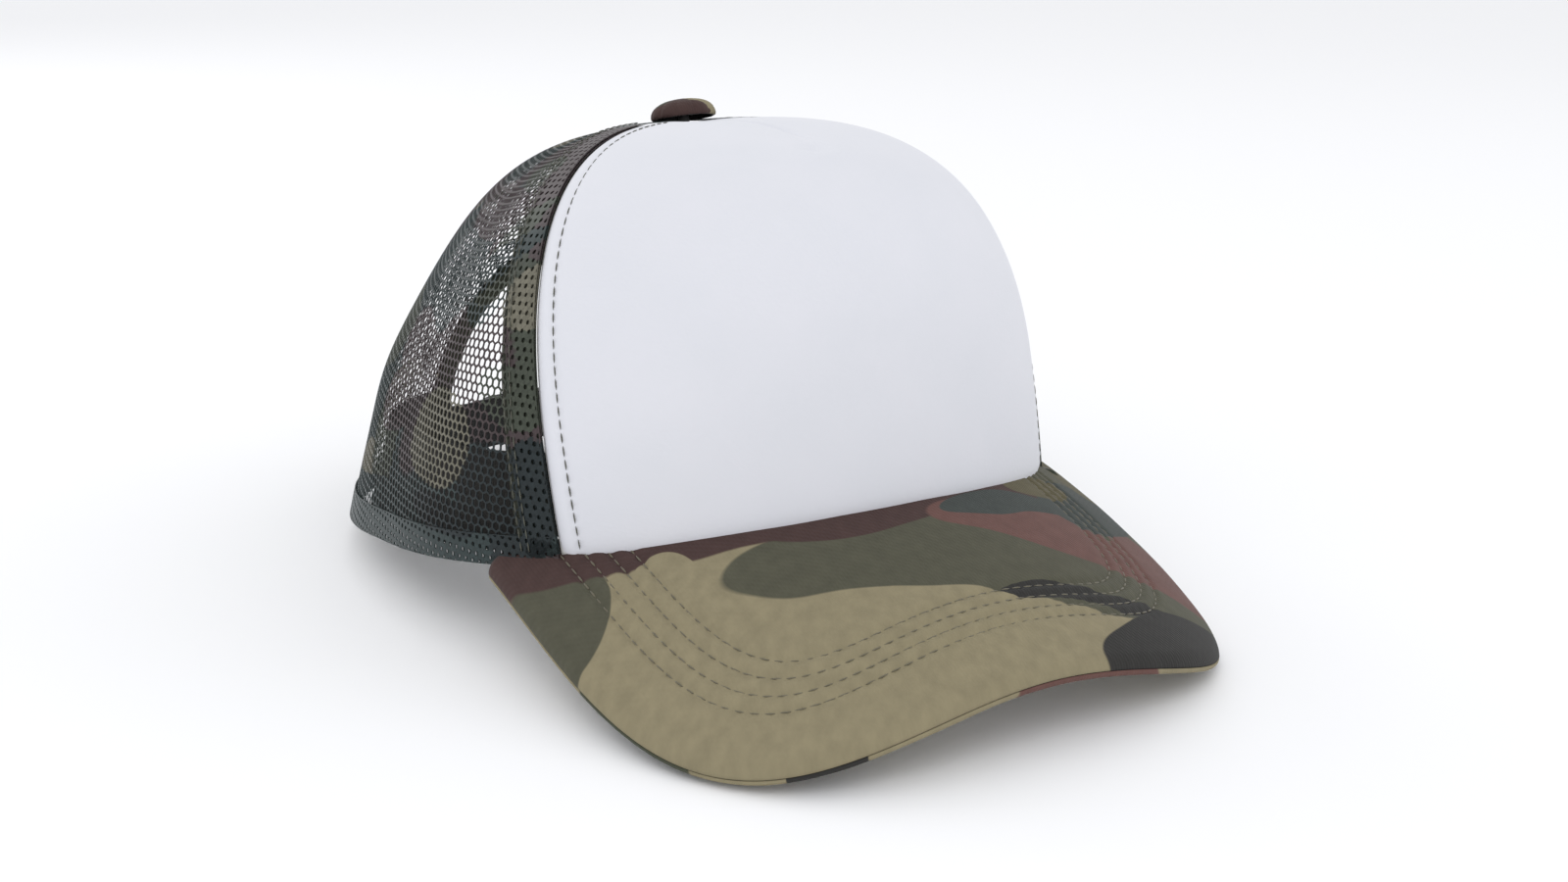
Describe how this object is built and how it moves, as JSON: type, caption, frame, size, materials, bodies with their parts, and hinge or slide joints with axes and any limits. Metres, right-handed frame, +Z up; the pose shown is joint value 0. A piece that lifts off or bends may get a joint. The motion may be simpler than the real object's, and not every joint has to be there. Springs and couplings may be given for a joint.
{
  "type": "trucker mesh cap",
  "caption": "Baseball-style cap with a foam-backed front panel, mesh sides and back, curved stitched brim and a rear snap strap, worn to shade the head.",
  "frame": {"origin": "centre of the bounding box on the surface that the cap stands on, resting on its brim corners and rear hem", "axes": "brim points to -Y, +X is the wearer's left, +Z up"},
  "size_m": [0.1772, 0.2516, 0.1195],
  "materials": {
    "white_face_fabric": "smooth brushed knit",
    "panel_foam": "open-cell foam",
    "printed_mesh": "camouflage-printed knitted mesh",
    "printed_twill": "camouflage-printed twill",
    "seam_tape": "woven tape",
    "sweatband_cloth": "folded cotton twill",
    "label_cloth": "woven satin tape, blank",
    "brim_plastic": "matte sheet",
    "strap_plastic": "satin moulded",
    "button_steel": "pressed"
  },
  "bodies": {
    "root": {"front_panel_fabric": "white_face_fabric", "front_panel_foam": "panel_foam", "side_mesh_panel_left": "printed_mesh", "side_mesh_panel_right": "printed_mesh", "back_mesh_panel_left": "printed_mesh", "back_mesh_panel_right": "printed_mesh", "front_seam_tape_left": "seam_tape", "front_seam_tape_right": "seam_tape", "side_seam_tape_left": "seam_tape", "side_seam_tape_right": "seam_tape", "back_seam_tape": "seam_tape", "arch_binding": "printed_twill", "sweatband": "sweatband_cloth", "care_label": "label_cloth", "brim_top_fabric": "printed_twill", "brim_board": "brim_plastic", "brim_under_fabric": "printed_twill", "button_cover": "printed_twill", "button_shell": "button_steel", "button_back": "button_steel", "hole_strap_end": "strap_plastic", "stud_strap_end": "strap_plastic"},
    "hole_strap": {"hole_strap": "strap_plastic"},
    "stud_strap": {"stud_strap": "strap_plastic"}
  },
  "joints": [
    {"name": "hole_strap_open", "type": "hinge", "parent": "root", "child": "hole_strap", "pos_m": [0.0295, 0.11782, 0.011], "axis": [0, 0, -1], "range_deg": [0, 70], "stiffness_Nm_per_rad": 0.01},
    {"name": "stud_strap_open", "type": "hinge", "parent": "root", "child": "stud_strap", "pos_m": [-0.0295, 0.11604, 0.011], "axis": [0, 0, -1], "range_deg": [0, 25], "stiffness_Nm_per_rad": 0.01}
  ]
}
